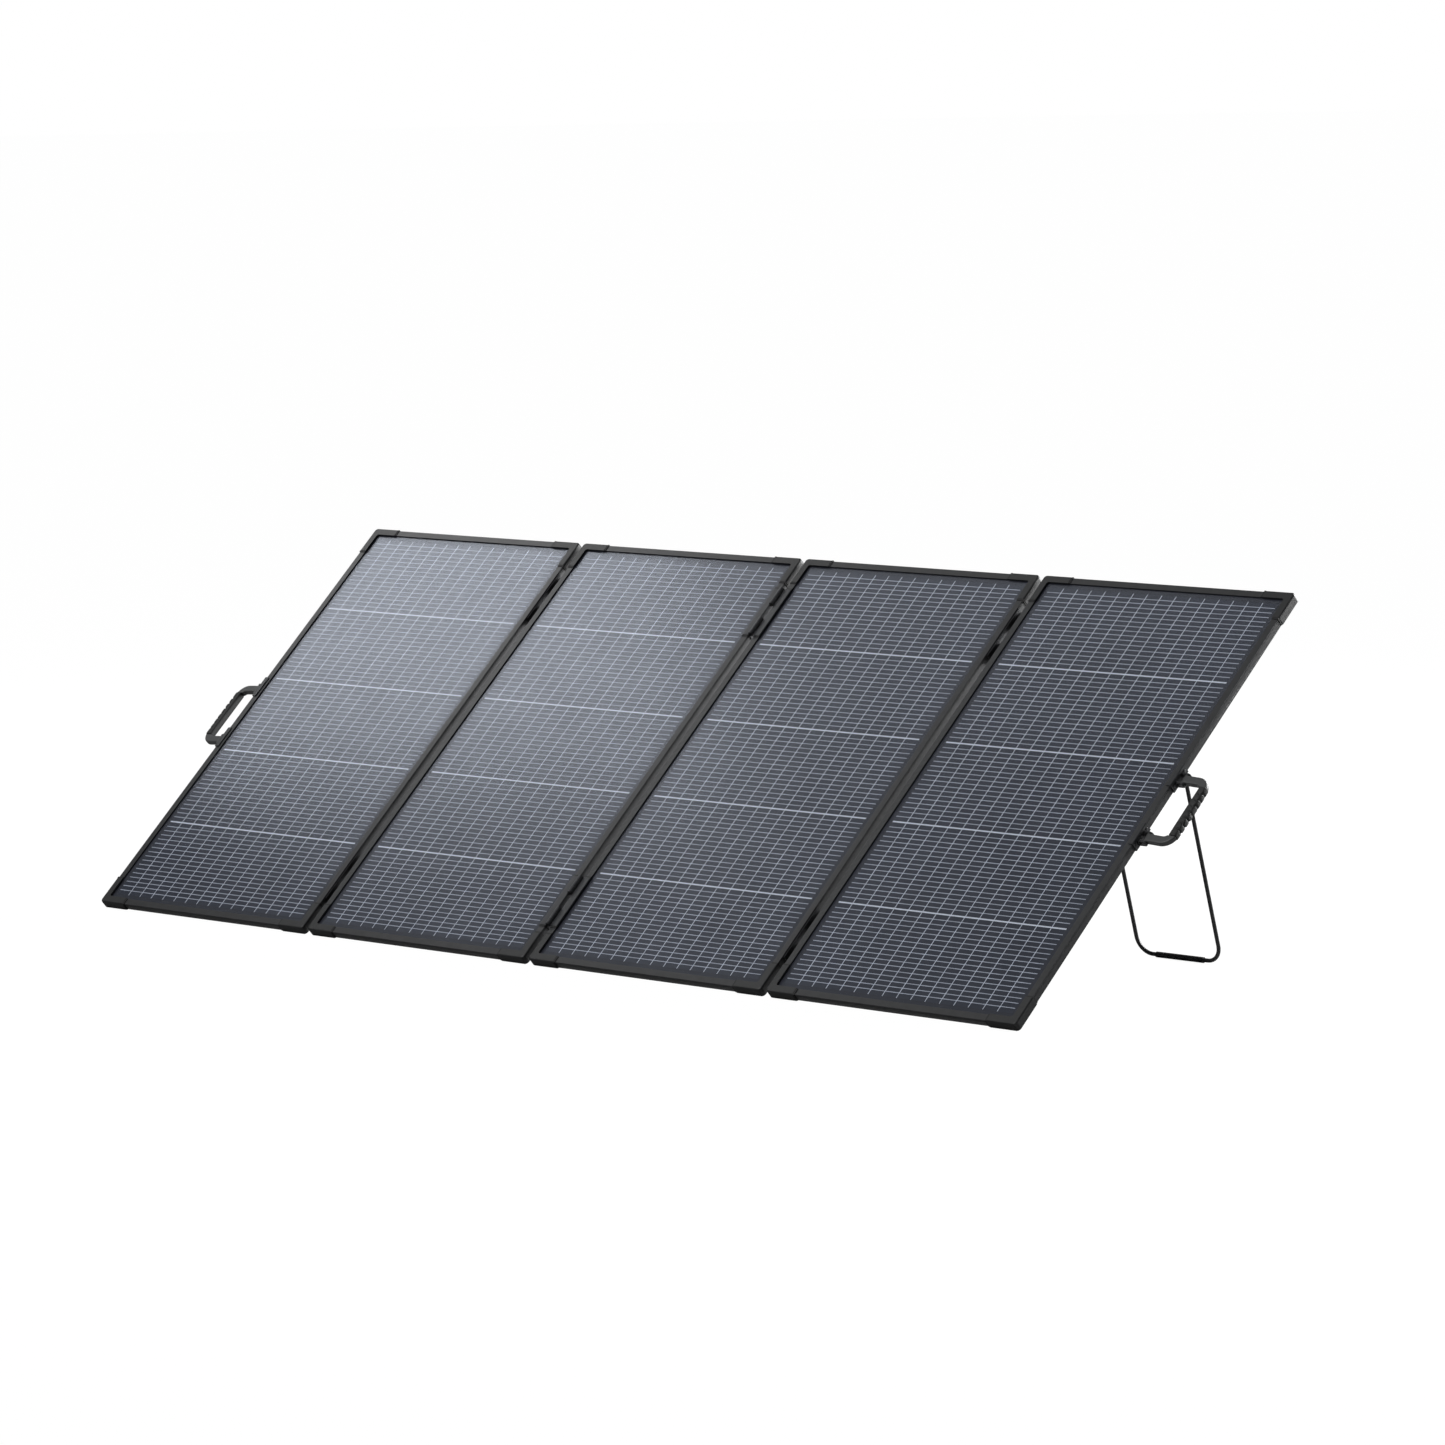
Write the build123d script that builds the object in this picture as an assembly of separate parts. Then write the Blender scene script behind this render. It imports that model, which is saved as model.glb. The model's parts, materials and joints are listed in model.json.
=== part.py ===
from build123d import *
import math
import os

# Folding four-panel solar array that stands on its lower edge and on two wire kickstands.
# It is modelled flat first: X runs along the row, Y up the slope and Z out of the front faces,
# with Z = 0 on the front of the corner caps. It is tilted and set on the ground at the end.

# Row
PANEL_COUNT = 4
PANEL_W = 550.0          # width of one panel over its corner caps
PANEL_H = 942.0          # height of one panel over its corner caps
PANEL_GAP = 11.3         # between the caps of neighbouring panels
TILT = 41.8              # slope of the open row, degrees

# Extruded frame rails
RAIL_W = 12.7            # width of the front face
RAIL_D = 14.0            # depth, front to back
RAIL_WALL = 1.5
RAIL_LIP = 2.0           # front lip that covers the laminate's edge
RAIL_EDGE = 0.8          # rounding of the outer front edge
SLOT_DEPTH = 8.3         # how far the laminate's slot goes in
GROOVE_W = 0.8           # fine line along the outer wall
GROOVE_D = 0.5
GROOVE_AT = 3.0          # below the front face

# Moulded corner caps
CAP_WALL = 1.6           # how far a cap stands proud of the rails
CAP_INNER = 0.8          # past the rail's inner edge
CAP_LEG_X = 62.0
CAP_LEG_Y = 57.0
CAP_CORNER = 7.0
CAP_INNER_CORNER = 4.5
CAP_FRONT_EDGE = 3.0
CAP_BACK_EDGE = 1.5

# Laminate
SHEET_T = 0.8
CELL_T = 0.3
BOARD_T = 1.9            # behind the cells
SLOT_PLAY = 0.3          # between the laminate's edge and the bottom of its slot
FIELD_MARGIN_X = 25.0     # from the panel's side to the cells
FIELD_MARGIN_Y = 24.5     # from the panel's end to the cells
CELL_ROWS = 5
ROW_GAP = 2.5            # between two rows of cells

# Cap screws, sunk in the back of the caps
SCREW_R = 1.5
SCREW_LENGTH = 5.0
SCREW_HEAD_R = 2.8
SCREW_HEAD_H = 1.1
SCREW_SINK = 0.2
SCREW_HEAD_PLAY = 0.3
SCREW_INSET = 14.0       # from the end of a cap's leg
SOCKET_W = 1.4
SOCKET_DEPTH = 0.7

# Hinges
HINGE_LENGTH = 110.0
HINGE_CENTRE = 131.0     # from each end of the panel
HINGE_AXIS_OUT = 1.25    # axis in front of the caps, or behind them on a rear hinge
LEAF_T = 2.0
LEAF_SIDE_T = 1.9
LEAF_SIDE_DEPTH = 13.8
LEAF_OVERHANG = 1.0      # past the rail's inner edge
LEAF_EDGE = 1.2
BARREL_R = 4.9
BARREL_ZONE = 38.0       # length of each of the two barrels on a hinge
KNUCKLES = 3             # in each barrel
KNUCKLE_GAP = 0.4
PIN_R = 2.0
PIN_PLAY = 0.05
PIN_HEAD_R = 3.3
PIN_HEAD_H = 0.7

# Handles
BRACKET_LENGTH = 46.0
BRACKET_CENTRE = 63.5    # from the middle of the panel's side
BRACKET_LIP = 7.0
BRACKET_T = 2.0
BRACKET_SIDE_T = 2.5
BRACKET_EDGE = 1.8
CHEEK_T = 3.0
CHEEK_R = 5.6
CHEEK_PLAY = 0.4
HANDLE_AXIS_OUT = 10.5   # from the bracket's side plate to the swing axis
HANDLE_AXIS_DEPTH = 12.0
HANDLE_REACH = 63.0      # from the caps' side plane to the outside of the grip
HANDLE_DROOP = 5.0       # how far the open handle hangs behind the panel's plane, degrees
BAIL_W = 16.0
BAIL_T = 10.0
BAIL_EDGE = 2.5
BAIL_CORNER = 25.0
BAIL_INNER_CORNER = 9.0
GRIP_LENGTH = 106.0
GRIP_W = 15.0
GRIP_T = 14.0
GRIP_CROWN = 1.6
GRIP_EDGE = 4.0
CORE_W = 9.0
CORE_T = 7.0
HANDLE_PIN_R = 2.2
HANDLE_PIN_HEAD_R = 3.4
HANDLE_PIN_HEAD_H = 1.0
BRACKET_SCREW_R = 1.4
BRACKET_SCREW_HEAD_R = 2.8
BRACKET_SCREW_HEAD_H = 1.2
BRACKET_SCREW_SPREAD = 17.0
HANDLE_GAP = 1.0         # left between the two grips when they meet over the folded stack

# Kickstands
LEG_SPREAD = 63.6        # between the open leg and the panel, degrees
LEG_PIVOT_DOWN = 171.0    # from the top of the panel to the pivot
LEG_W = 188.0            # over the two rods
LEG_ROD_R = 3.5
LEG_PLAY = 0.5           # between the rod and the cross rail
LEG_CORNER = 30.0
LEG_TOP_CORNER = 8.0
LEG_STUB = 26.0          # end of the rod that turns outwards into its block
FOOT_WALL = 1.5
FOOT_LENGTH = 105.0
BLOCK_W = 14.0
BLOCK_L = 22.0
BLOCK_OUT = 9.0          # from the rod's centre line to the block's near side
BLOCK_WALL = 1.3         # behind the rod
BLOCK_EDGE = 2.0
CROSS_RAIL_W = 24.0
CROSS_RAIL_T = 1.6

# Junction box on the back of the second panel
BOX_PANEL = 1
BOX_W = 90.0
BOX_L = 50.0
BOX_T = 12.4
BOX_WALL = 1.8
BOX_EDGE = 4.0
BOX_TOP_INSET = 82.0     # from the top of the panel to the box
LID_T = 1.6
LID_STEP = 1.0
GLAND_R = 3.8
GLAND_LENGTH = 18.0
GLAND_COLLAR_R = 5.0
GLAND_COLLAR = 4.0
GLAND_BORE_R = 2.6

# Cutting solids run this far past the faces that they cut
OVERCUT = 1.0

# Values worked out from the ones above
PITCH = PANEL_W + PANEL_GAP
ROW_W = PANEL_COUNT * PITCH - PANEL_GAP
CAP_D = RAIL_D + 2 * CAP_WALL
RAIL_INNER = CAP_WALL + RAIL_W
LAMINATE_T = SHEET_T + CELL_T + BOARD_T
LAMINATE_FRONT = -(CAP_WALL + RAIL_LIP)
LAMINATE_BACK = LAMINATE_FRONT - LAMINATE_T
LAMINATE_INSET = RAIL_INNER - SLOT_DEPTH + SLOT_PLAY
CELL_FRONT = LAMINATE_FRONT - SHEET_T
HALF_WALL_GAP = PANEL_GAP / 2 + CAP_WALL
CORNER_SETBACK = RAIL_INNER - SLOT_DEPTH
FIELD_W = PANEL_W - 2 * FIELD_MARGIN_X
FIELD_H = PANEL_H - 2 * FIELD_MARGIN_Y
CELL_ROW_H = (FIELD_H - (CELL_ROWS - 1) * ROW_GAP) / CELL_ROWS
LEG_PIVOT_Y = PANEL_H - LEG_PIVOT_DOWN
LEG_PIVOT_DEPTH = CROSS_RAIL_T + LEG_PLAY + LEG_ROD_R - LAMINATE_BACK
FOOT_R = LEG_ROD_R + FOOT_WALL
BLOCK_BACK = LEG_ROD_R + BLOCK_WALL
KNUCKLE_L = (BARREL_ZONE - (KNUCKLES - 1) * KNUCKLE_GAP) / KNUCKLES
FAR = 2 * PANEL_H          # beyond every edge of a panel

TILT_SIN = math.sin(math.radians(TILT))
TILT_COS = math.cos(math.radians(TILT))
GROUND = CAP_BACK_EDGE * TILT_SIN + (CAP_BACK_EDGE - CAP_D) * TILT_COS - CAP_BACK_EDGE
LEG_SLOPE = math.radians(180.0 - TILT - LEG_SPREAD)
PIVOT_HEIGHT = LEG_PIVOT_Y * TILT_SIN - LEG_PIVOT_DEPTH * TILT_COS
LEG_LENGTH = (PIVOT_HEIGHT - FOOT_R - GROUND) / math.sin(LEG_SLOPE)

HANDLE_AXIS_X = CAP_WALL - BRACKET_SIDE_T - HANDLE_AXIS_OUT
GRIP_OUTSIDE = HANDLE_REACH + GRIP_CROWN + HANDLE_AXIS_X
STACK_HALF = 2 * CAP_D + 3 * HINGE_AXIS_OUT
GRIP_TRAVEL = STACK_HALF - HANDLE_AXIS_DEPTH - HANDLE_GAP / 2
GRIP_CORNER = math.hypot(GRIP_OUTSIDE, GRIP_T / 2)
HANDLE_MEETS = math.asin(GRIP_TRAVEL / GRIP_CORNER) - math.atan(GRIP_T / 2 / GRIP_OUTSIDE)
HANDLE_SWING = math.degrees(HANDLE_MEETS) - HANDLE_DROOP


def block(x0, x1, y0, y1, z0, z1):
    """Box between two corners."""
    box = Box(x1 - x0, y1 - y0, z1 - z0, align=(Align.MIN, Align.MIN, Align.MIN))
    return Pos(x0, y0, z0) * box


def rod_x(radius, x0, x1, y, z):
    """Cylinder along X from x0 to x1."""
    plane = Plane((x0, y, z), x_dir=(0, 1, 0), z_dir=(1, 0, 0))
    return extrude(plane * Circle(radius), amount=x1 - x0)


def rod_y(radius, x, y0, y1, z):
    """Cylinder along Y from y0 to y1."""
    plane = Plane((x, y0, z), x_dir=(1, 0, 0), z_dir=(0, 1, 0))
    return extrude(plane * Circle(radius), amount=y1 - y0)


def rod_z(radius, x, y, z0, z1):
    """Cylinder along Z from z0 to z1."""
    return Pos(x, y, z0) * extrude(Circle(radius), amount=z1 - z0)


def flip_x(shape, x):
    """Mirror image across the plane X = x."""
    return mirror(shape, about=Plane((x, 0, 0), z_dir=(1, 0, 0)))


def flip_y(shape, y):
    """Mirror image across the plane Y = y."""
    return mirror(shape, about=Plane((0, y, 0), z_dir=(0, 1, 0)))


def flip_z(shape, z):
    """Mirror image across the plane Z = z."""
    return mirror(shape, about=Plane((0, 0, z), z_dir=(0, 0, 1)))


def four_corners(shape):
    """The shape at a panel's lower left corner, and its three mirror images."""
    left = [shape, flip_y(shape, PANEL_H / 2)]
    return left + [flip_x(piece, PANEL_W / 2) for piece in left]


# ---------------------------------------------------------------- frame and laminate

def rail_section():
    """Rail profile: X inwards from the outer wall, Y down from the front face."""
    slot_end = RAIL_W - SLOT_DEPTH
    slot_back = RAIL_LIP + LAMINATE_T
    outline = Polyline(
        (0, 0), (RAIL_W, 0), (RAIL_W, RAIL_LIP), (slot_end, RAIL_LIP), (slot_end, slot_back),
        (RAIL_W, slot_back), (RAIL_W, RAIL_D), (0, RAIL_D), (0, GROOVE_AT + GROOVE_W / 2),
        (GROOVE_D, GROOVE_AT), (0, GROOVE_AT - GROOVE_W / 2), close=True)
    profile = make_face(outline)
    outer_edge = profile.vertices().sort_by_distance((0, 0, 0))[0]
    profile = fillet(outer_edge, RAIL_EDGE)
    chamber_top = slot_back + RAIL_WALL
    chamber_w = RAIL_W - 2 * RAIL_WALL
    chamber_d = RAIL_D - RAIL_WALL - chamber_top
    chamber = Pos(RAIL_WALL, chamber_top) * Rectangle(
        chamber_w, chamber_d, align=(Align.MIN, Align.MIN))
    return profile - chamber


def screw_places():
    """Centres of the two screws in the lower left cap."""
    middle = CAP_WALL + RAIL_W / 2
    return [(CAP_LEG_X - SCREW_INSET, middle), (middle, CAP_LEG_Y - SCREW_INSET)]


def screw_shanks():
    """Room that the cap screws' shanks take, one set per corner."""
    tip = -CAP_D + SCREW_SINK + SCREW_LENGTH
    shanks = [rod_z(SCREW_R, x, y, -CAP_D - OVERCUT, tip) for x, y in screw_places()]
    return [piece for shank in shanks for piece in four_corners(shank)]


def side_rails():
    """The two rails that run up the slope."""
    plane = Plane((CAP_WALL, CORNER_SETBACK, -CAP_WALL), x_dir=(1, 0, 0), z_dir=(0, 1, 0))
    rail = extrude(plane * rail_section(), amount=PANEL_H - 2 * CORNER_SETBACK)
    return [piece - screw_shanks() for piece in (rail, flip_x(rail, PANEL_W / 2))]


def end_rails():
    """The two rails between the side rails, at the bottom and the top."""
    start = PANEL_W - RAIL_INNER
    plane = Plane((start, CAP_WALL, -CAP_WALL), x_dir=(0, 1, 0), z_dir=(-1, 0, 0))
    rail = extrude(plane * rail_section(), amount=start - RAIL_INNER)
    return [piece - screw_shanks() for piece in (rail, flip_y(rail, PANEL_H / 2))]


def corner_caps():
    """Four L-shaped caps that wrap the ends of the rails."""
    width = RAIL_INNER + CAP_INNER
    outline = Polyline(
        (0, 0), (CAP_LEG_X, 0), (CAP_LEG_X, width), (width, width), (width, CAP_LEG_Y),
        (0, CAP_LEG_Y), close=True)
    face = make_face(outline)
    face = fillet(face.vertices().sort_by_distance((0, 0, 0))[0], CAP_CORNER)
    face = fillet(face.vertices().sort_by_distance((width, width, 0))[0], CAP_INNER_CORNER)
    cap = Pos(0, 0, -CAP_D) * extrude(face, amount=CAP_D)
    near = CAP_CORNER / 2

    def outer_rim(level):
        rim = cap.edges().filter_by_position(Axis.Z, level, level)
        return [edge for edge in rim if min((edge @ 0.5).X, (edge @ 0.5).Y) < near]

    cap = fillet(outer_rim(0), CAP_FRONT_EDGE)
    cap = fillet(outer_rim(-CAP_D), CAP_BACK_EDGE)
    back = -CAP_WALL - RAIL_D
    cap -= block(CAP_WALL, RAIL_INNER, CORNER_SETBACK, FAR, back, -CAP_WALL)
    cap -= block(RAIL_INNER, FAR, CAP_WALL, RAIL_INNER, back, -CAP_WALL)
    cap -= block(RAIL_INNER, FAR, RAIL_INNER, FAR, LAMINATE_BACK, LAMINATE_FRONT)
    pocket_top = -CAP_D + SCREW_SINK + SCREW_HEAD_H
    for x, y in screw_places():
        cap -= rod_z(SCREW_R, x, y, -CAP_D - OVERCUT, -CAP_D / 2)
        cap -= rod_z(SCREW_HEAD_R + SCREW_HEAD_PLAY, x, y, -CAP_D - OVERCUT, pocket_top)
    return four_corners(cap)


def cap_screws():
    """Two sunk socket-head screws in the back of each cap."""
    under = -CAP_D + SCREW_SINK
    socket_top = under + SOCKET_DEPTH
    screws = []
    for x, y in screw_places():
        screw = rod_z(SCREW_R, x, y, under, under + SCREW_LENGTH)
        screw += rod_z(SCREW_HEAD_R, x, y, under, under + SCREW_HEAD_H)
        socket = extrude(RegularPolygon(SOCKET_W, 6), amount=socket_top - under)
        screw -= Pos(x, y, under) * socket
        screws.extend(four_corners(screw))
    return screws


def laminate_slab(z0, z1):
    """Slab that fills the frame's slot between two depths."""
    edge = LAMINATE_INSET
    return block(edge, PANEL_W - edge, edge, PANEL_H - edge, z0, z1)


def cell_rows():
    """Rows of cells, each one thin plate."""
    left = FIELD_MARGIN_X
    rows = []
    for index in range(CELL_ROWS):
        start = FIELD_MARGIN_Y + index * (CELL_ROW_H + ROW_GAP)
        rows.append(block(left, left + FIELD_W, start, start + CELL_ROW_H,
                          CELL_FRONT - CELL_T, CELL_FRONT))
    return rows


def back_board():
    """Board behind the cells, with a shallow pocket for each row of them."""
    return laminate_slab(LAMINATE_BACK, CELL_FRONT) - cell_rows()


# ---------------------------------------------------------------- hinges

def leaf(side):
    """Right-hand leaf of a front hinge about X = 0, Y from 0 up; side -1 gives the left one."""
    rail_face = -CAP_WALL
    top = rail_face + LEAF_T
    inner = HALF_WALL_GAP - LEAF_SIDE_T
    plates = block(inner, HALF_WALL_GAP + RAIL_W + LEAF_OVERHANG, 0, HINGE_LENGTH, rail_face, top)
    plates += block(inner, HALF_WALL_GAP, 0, HINGE_LENGTH, top - LEAF_SIDE_DEPTH, top)
    long_edges = plates.edges().filter_by(Axis.Y).filter_by_position(Axis.Z, top, top)
    plates = fillet(long_edges, LEAF_EDGE)
    bore = PIN_R
    if side > 0:
        bore = PIN_R + PIN_PLAY
    for zone in (0, HINGE_LENGTH - BARREL_ZONE):
        for index in range(KNUCKLES):
            if (index % 2 == 1) != (side > 0):
                continue
            start = zone + index * (KNUCKLE_L + KNUCKLE_GAP)
            stop = start + KNUCKLE_L
            plates += rod_y(BARREL_R, 0, start, stop, HINGE_AXIS_OUT)
            web_bottom = HINGE_AXIS_OUT - BARREL_R
            plates += block(0, inner + LEAF_SIDE_T / 2, start, stop, web_bottom, top - LEAF_EDGE)
            plates -= rod_y(bore, 0, start - OVERCUT, stop + OVERCUT, HINGE_AXIS_OUT)
    if side < 0:
        plates = flip_x(plates, 0)
    return plates


def hinge_pins():
    """The two headed pins of one hinge."""
    pins = []
    for zone in (0, HINGE_LENGTH - BARREL_ZONE):
        end = zone + BARREL_ZONE
        pin = rod_y(PIN_R, 0, zone - PIN_HEAD_H, end + PIN_HEAD_H, HINGE_AXIS_OUT)
        for start in (zone - PIN_HEAD_H, end):
            pin += rod_y(PIN_HEAD_R, 0, start, start + PIN_HEAD_H, HINGE_AXIS_OUT)
        pins.append(pin)
    return pins


def seam_x(seam):
    """Middle of the gap to the right of panel number seam, counted from 0."""
    return (seam + 1) * PITCH - PANEL_GAP / 2


def on_seam(pieces, seam, rear):
    """Pieces of a front hinge, set at both ends of a seam, turned to the back if rear."""
    low = HINGE_CENTRE - HINGE_LENGTH / 2
    placed = []
    for piece in pieces:
        if rear:
            piece = flip_z(piece, -CAP_D / 2)
        lower = Pos(seam_x(seam), low, 0) * piece
        placed.extend([lower, flip_y(lower, PANEL_H / 2)])
    return placed


# ---------------------------------------------------------------- handles, drawn on the left side

def bracket_section():
    """Clip that wraps the rail's front, side and back, in X and Z."""
    outside = CAP_WALL - BRACKET_SIDE_T
    front = -CAP_WALL + BRACKET_T
    back = -CAP_WALL - RAIL_D - BRACKET_T
    clip = Pos(outside, back) * Rectangle(
        BRACKET_LIP + BRACKET_SIDE_T, front - back, align=(Align.MIN, Align.MIN))
    outer = clip.vertices().sort_by(Axis.X)[:2]
    clip = fillet(outer, BRACKET_EDGE)
    rail = Pos(CAP_WALL, back + BRACKET_T) * Rectangle(
        BRACKET_LIP + OVERCUT, RAIL_D, align=(Align.MIN, Align.MIN))
    return clip - rail


def cheek_section():
    """Ear that carries the swing pin, in X and Z."""
    plate = Rectangle(HANDLE_AXIS_OUT + BRACKET_SIDE_T / 2, 2 * CHEEK_R,
                      align=(Align.MIN, Align.CENTER))
    return Pos(HANDLE_AXIS_X, -HANDLE_AXIS_DEPTH) * (plate + Circle(CHEEK_R))


def standing(section, y0, y1):
    """Extrude a section drawn in X and Z from y0 to y1."""
    plane = Plane((0, y1, 0), x_dir=(1, 0, 0), z_dir=(0, -1, 0))
    return extrude(plane * section, amount=y1 - y0)


def bracket_centres():
    """Heights of the two brackets on a panel's side."""
    return [PANEL_H / 2 - BRACKET_CENTRE, PANEL_H / 2 + BRACKET_CENTRE]


def bracket_screw_heights(centre):
    """Heights of the two screws of the bracket at this height."""
    return [centre - BRACKET_SCREW_SPREAD, centre + BRACKET_SCREW_SPREAD]


def handle_brackets():
    """The two clips with their ears."""
    brackets = []
    screw_z = -CAP_D / 2
    for centre in bracket_centres():
        half = BRACKET_LENGTH / 2
        bracket = standing(bracket_section(), centre - half, centre + half)
        for side in (-1, 1):
            near = side * (BAIL_W / 2 + CHEEK_PLAY)
            far = near + side * CHEEK_T
            bracket += standing(cheek_section(), centre + min(near, far), centre + max(near, far))
        bracket -= rod_y(HANDLE_PIN_R, HANDLE_AXIS_X, centre - half, centre + half,
                         -HANDLE_AXIS_DEPTH)
        for y in bracket_screw_heights(centre):
            bracket -= rod_x(BRACKET_SCREW_R, HANDLE_AXIS_X, CAP_WALL, y, screw_z)
        brackets.append(bracket)
    return brackets


def bracket_screws():
    """Button-head screws through the brackets' side plates into the rail."""
    screws = []
    outside = CAP_WALL - BRACKET_SIDE_T
    tip = CAP_WALL + RAIL_WALL
    for centre in bracket_centres():
        for y in bracket_screw_heights(centre):
            head = rod_x(BRACKET_SCREW_HEAD_R, outside - BRACKET_SCREW_HEAD_H, outside, y,
                         -CAP_D / 2)
            head = fillet(head.edges().sort_by(Axis.X)[0], BRACKET_SCREW_HEAD_H / 2)
            screws.append(head + rod_x(BRACKET_SCREW_R, outside, tip, y, -CAP_D / 2))
    return screws


def bracket_screw_holes():
    """Holes for those screws in the rail's outer wall."""
    return [rod_x(BRACKET_SCREW_R, 0, RAIL_INNER / 2, y, -CAP_D / 2)
            for centre in bracket_centres() for y in bracket_screw_heights(centre)]


def handle_pins():
    """One headed pin through each bracket's ears."""
    pins = []
    reach = BAIL_W / 2 + CHEEK_PLAY + CHEEK_T
    for centre in bracket_centres():
        low = centre - reach
        high = centre + reach
        pin = rod_y(HANDLE_PIN_R, HANDLE_AXIS_X, low, high, -HANDLE_AXIS_DEPTH)
        for start in (low - HANDLE_PIN_HEAD_H, high):
            pin += rod_y(HANDLE_PIN_HEAD_R, HANDLE_AXIS_X, start, start + HANDLE_PIN_HEAD_H,
                         -HANDLE_AXIS_DEPTH)
        pins.append(pin)
    return pins


def hung(shape):
    """Turn a handle piece about the swing axis to its open, slightly hanging place."""
    axis = Axis((HANDLE_AXIS_X, 0, -HANDLE_AXIS_DEPTH), (0, -1, 0))
    return shape.rotate(axis, HANDLE_DROOP)


def grip_blank():
    """Outer shape of the grip, crowned on its outer side."""
    middle = PANEL_H / 2
    outer = -HANDLE_REACH
    inner = outer + GRIP_W
    half = GRIP_LENGTH / 2
    outline = ThreePointArc((outer, middle - half), (outer - GRIP_CROWN, middle),
                            (outer, middle + half))
    outline += Polyline((outer, middle + half), (inner, middle + half), (inner, middle - half),
                        (outer, middle - half))
    low = -HANDLE_AXIS_DEPTH - GRIP_T / 2
    blank = extrude(Pos(0, 0, low) * make_face(outline), amount=GRIP_T)
    long_edges = [edge for edge in blank.edges() if edge.length > GRIP_LENGTH - OVERCUT]
    return fillet(long_edges, GRIP_EDGE)


def bail():
    """Flat U-shaped arm, thinned to a core where the grip is moulded over it."""
    middle = PANEL_H / 2
    outer = -HANDLE_REACH
    inner = outer + GRIP_W
    half = BRACKET_CENTRE + BAIL_W / 2
    inside = BRACKET_CENTRE - BAIL_W / 2
    plate = Pos(outer, middle) * Rectangle(
        HANDLE_AXIS_X - outer, 2 * half, align=(Align.MIN, Align.CENTER))
    plate = fillet(plate.vertices().sort_by(Axis.X)[:2], BAIL_CORNER)
    opening = Pos(inner, middle) * Rectangle(
        HANDLE_REACH, 2 * inside, align=(Align.MIN, Align.CENTER))
    opening = fillet(opening.vertices().sort_by(Axis.X)[:2], BAIL_INNER_CORNER)
    low = -HANDLE_AXIS_DEPTH - BAIL_T / 2
    arm = Pos(0, 0, low) * extrude(plate - opening, amount=BAIL_T)
    for level in (low, low + BAIL_T):
        rim = arm.edges().filter_by_position(Axis.Z, level, level)
        arm = fillet([edge for edge in rim if (edge @ 0.5).X < HANDLE_AXIS_X - OVERCUT], BAIL_EDGE)
    for centre in bracket_centres():
        arm += rod_y(BAIL_T / 2, HANDLE_AXIS_X, centre - BAIL_W / 2, centre + BAIL_W / 2,
                     -HANDLE_AXIS_DEPTH)
    grip_low = middle - GRIP_LENGTH / 2
    grip_high = middle + GRIP_LENGTH / 2
    arm -= block(outer - BAIL_W, inner + BAIL_INNER_CORNER, grip_low, grip_high, -FAR, FAR)
    centre_x = outer + GRIP_W / 2
    arm += block(centre_x - CORE_W / 2, centre_x + CORE_W / 2, grip_low - OVERCUT, grip_high + OVERCUT,
                 -HANDLE_AXIS_DEPTH - CORE_T / 2, -HANDLE_AXIS_DEPTH + CORE_T / 2)
    for centre in bracket_centres():
        arm -= rod_y(HANDLE_PIN_R + PIN_PLAY, HANDLE_AXIS_X, centre - BAIL_W, centre + BAIL_W,
                     -HANDLE_AXIS_DEPTH)
    return arm


# ---------------------------------------------------------------- kickstands, in the first panel

def leg_path():
    """Centre line of the rod, lying flat behind the panel with its stubs turned outwards."""
    middle = PANEL_W / 2
    half = LEG_W / 2 - LEG_ROD_R
    top = LEG_PIVOT_Y
    foot = LEG_PIVOT_Y - LEG_LENGTH
    points = [(middle - half - LEG_STUB, top), (middle - half, top), (middle - half, foot),
              (middle + half, foot), (middle + half, top), (middle + half + LEG_STUB, top)]
    radii = [LEG_TOP_CORNER, LEG_CORNER, LEG_CORNER, LEG_TOP_CORNER]
    return FilletPolyline(*[(x, y, -LEG_PIVOT_DEPTH) for x, y in points], radius=radii)


def opened(shape):
    """Swing a leg piece from its folded place to its open one."""
    axis = Axis((0, LEG_PIVOT_Y, -LEG_PIVOT_DEPTH), (1, 0, 0))
    return shape.rotate(axis, LEG_SPREAD)


def leg_rod():
    """Bent round rod of the kickstand."""
    path = leg_path()
    start = Plane(origin=path @ 0, z_dir=path % 0)
    return sweep(start * Circle(LEG_ROD_R), path=path)


def leg_foot():
    """Sleeve on the rod's base."""
    middle = PANEL_W / 2
    y = LEG_PIVOT_Y - LEG_LENGTH
    low = middle - FOOT_LENGTH / 2
    high = middle + FOOT_LENGTH / 2
    sleeve = rod_x(FOOT_R, low, high, y, -LEG_PIVOT_DEPTH)
    sleeve = fillet(sleeve.edges(), LEG_ROD_R / 4)
    return sleeve - rod_x(LEG_ROD_R, low - OVERCUT, high + OVERCUT, y, -LEG_PIVOT_DEPTH)


def pivot_blocks():
    """Blocks that the rod's stubs turn in."""
    front = LAMINATE_BACK - CROSS_RAIL_T
    back = -LEG_PIVOT_DEPTH - BLOCK_BACK
    start = PANEL_W / 2 + LEG_W / 2 - LEG_ROD_R + BLOCK_OUT
    body = block(start, start + BLOCK_W, LEG_PIVOT_Y - BLOCK_L / 2, LEG_PIVOT_Y + BLOCK_L / 2,
                 back, front)
    rim = body.edges().filter_by_position(Axis.Z, back, back)
    body = fillet(rim.filter_by(Axis.X), BLOCK_EDGE)
    body -= rod_x(LEG_ROD_R + PIN_PLAY, start - OVERCUT, start + BLOCK_W + OVERCUT, LEG_PIVOT_Y,
                  -LEG_PIVOT_DEPTH)
    return [flip_x(body, PANEL_W / 2), body]


def cross_rail():
    """Flat bar across the back of the board, which the pivot blocks sit on."""
    half = CROSS_RAIL_W / 2
    return block(RAIL_INNER, PANEL_W - RAIL_INNER, LEG_PIVOT_Y - half, LEG_PIVOT_Y + half,
                 LAMINATE_BACK - CROSS_RAIL_T, LAMINATE_BACK)


# ---------------------------------------------------------------- junction box

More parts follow.
